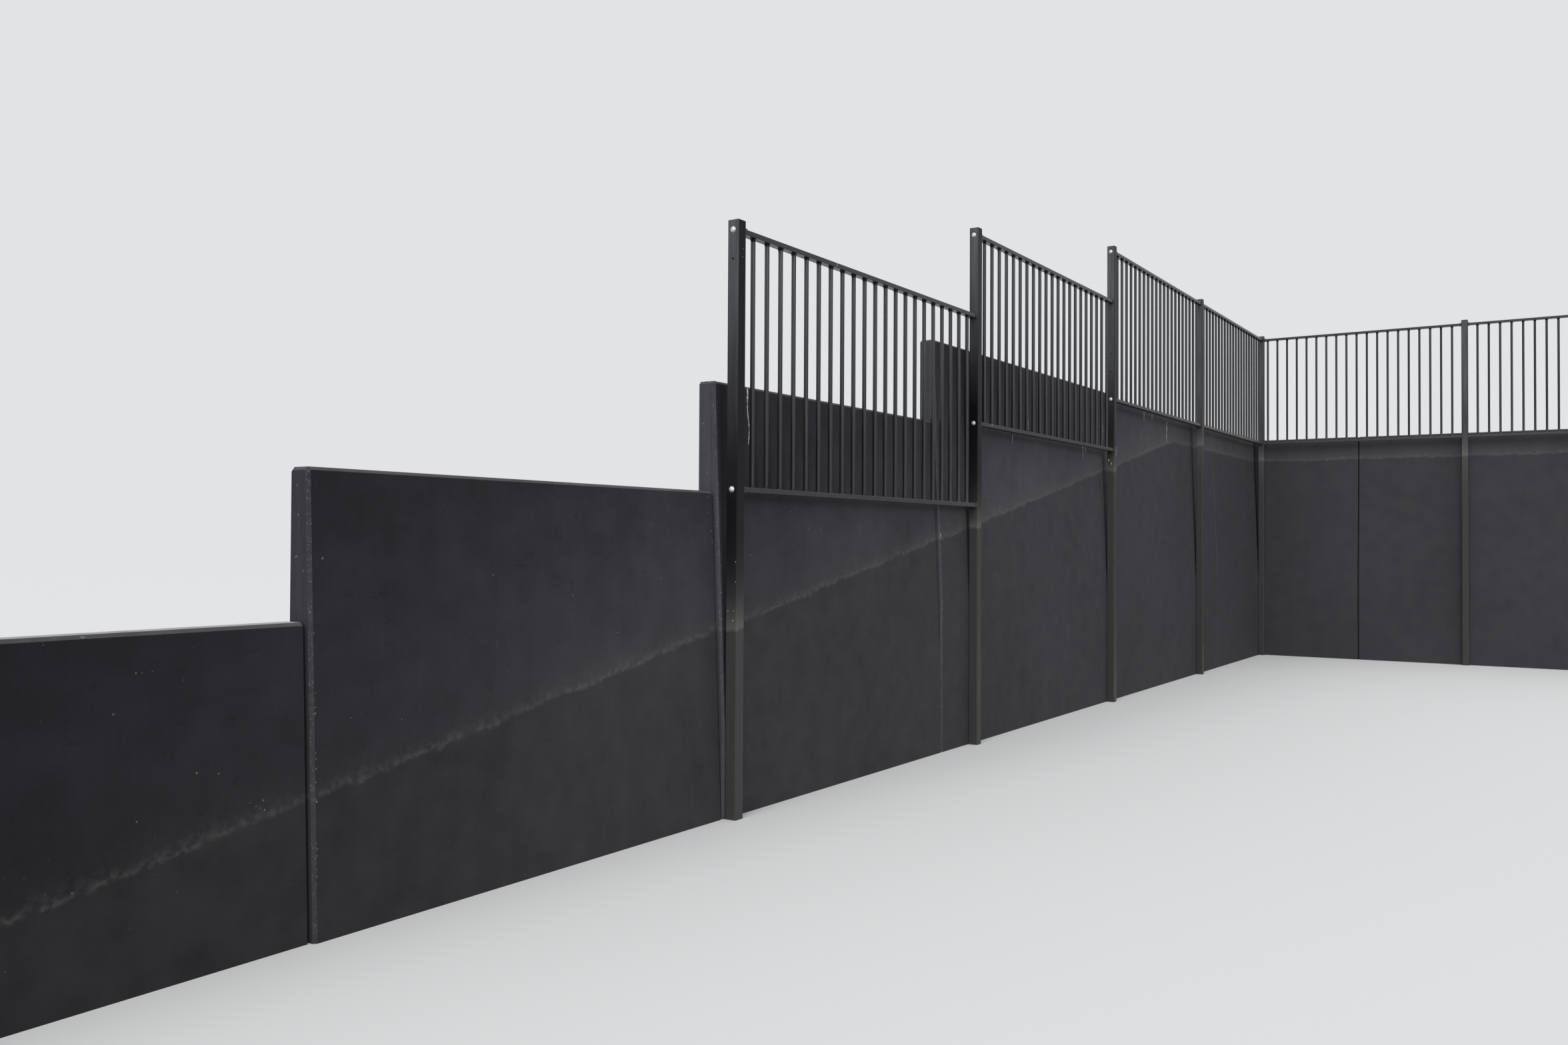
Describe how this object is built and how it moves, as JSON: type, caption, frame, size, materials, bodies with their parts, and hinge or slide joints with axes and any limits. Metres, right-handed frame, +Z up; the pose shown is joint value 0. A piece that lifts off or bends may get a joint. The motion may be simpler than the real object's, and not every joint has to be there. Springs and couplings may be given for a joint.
{
  "type": "stepped concrete retaining wall with bar railing",
  "caption": "Stepped retaining wall of dark precast concrete stems beside a ramp and round a landing corner, with a steel bar railing on square posts.",
  "frame": {"origin": "bottom centre of the whole object, on the lowest ground level", "axes": "+X along the wall, up the ramp; +Y from the retained side, where the railing stands, to the open side; +Z up"},
  "size_m": [13.805, 4.035, 3.369],
  "materials": {
    "precast_concrete": "matte, fine pits and specks, pale dust at the foot",
    "joint_seal": "matte",
    "coated_steel": "satin powder coat"
  },
  "bodies": {
    "root": {"joint_seal_1": "joint_seal", "joint_seal_2": "joint_seal", "joint_seal_3": "joint_seal", "joint_seal_4": "joint_seal", "joint_seal_5": "joint_seal", "joint_seal_return": "joint_seal", "post_cap_1": "coated_steel", "post_cap_2": "coated_steel", "post_cap_3": "coated_steel", "post_cap_4": "coated_steel", "post_cap_5": "coated_steel", "post_cap_6": "coated_steel", "post_cap_7": "coated_steel", "railing_panel_1": "coated_steel", "railing_panel_2": "coated_steel", "railing_panel_3": "coated_steel", "railing_panel_4": "coated_steel", "railing_panel_5": "coated_steel", "railing_panel_6": "coated_steel", "railing_post_1": "coated_steel", "railing_post_2": "coated_steel", "railing_post_3": "coated_steel", "railing_post_4": "coated_steel", "railing_post_5": "coated_steel", "railing_post_6": "coated_steel", "railing_post_7": "coated_steel", "wall_corner": "precast_concrete", "wall_return": "precast_concrete", "wall_stem_1": "precast_concrete", "wall_stem_2": "precast_concrete", "wall_stem_3": "precast_concrete", "wall_stem_4": "precast_concrete", "wall_stem_5": "precast_concrete"}
  },
  "joints": []
}
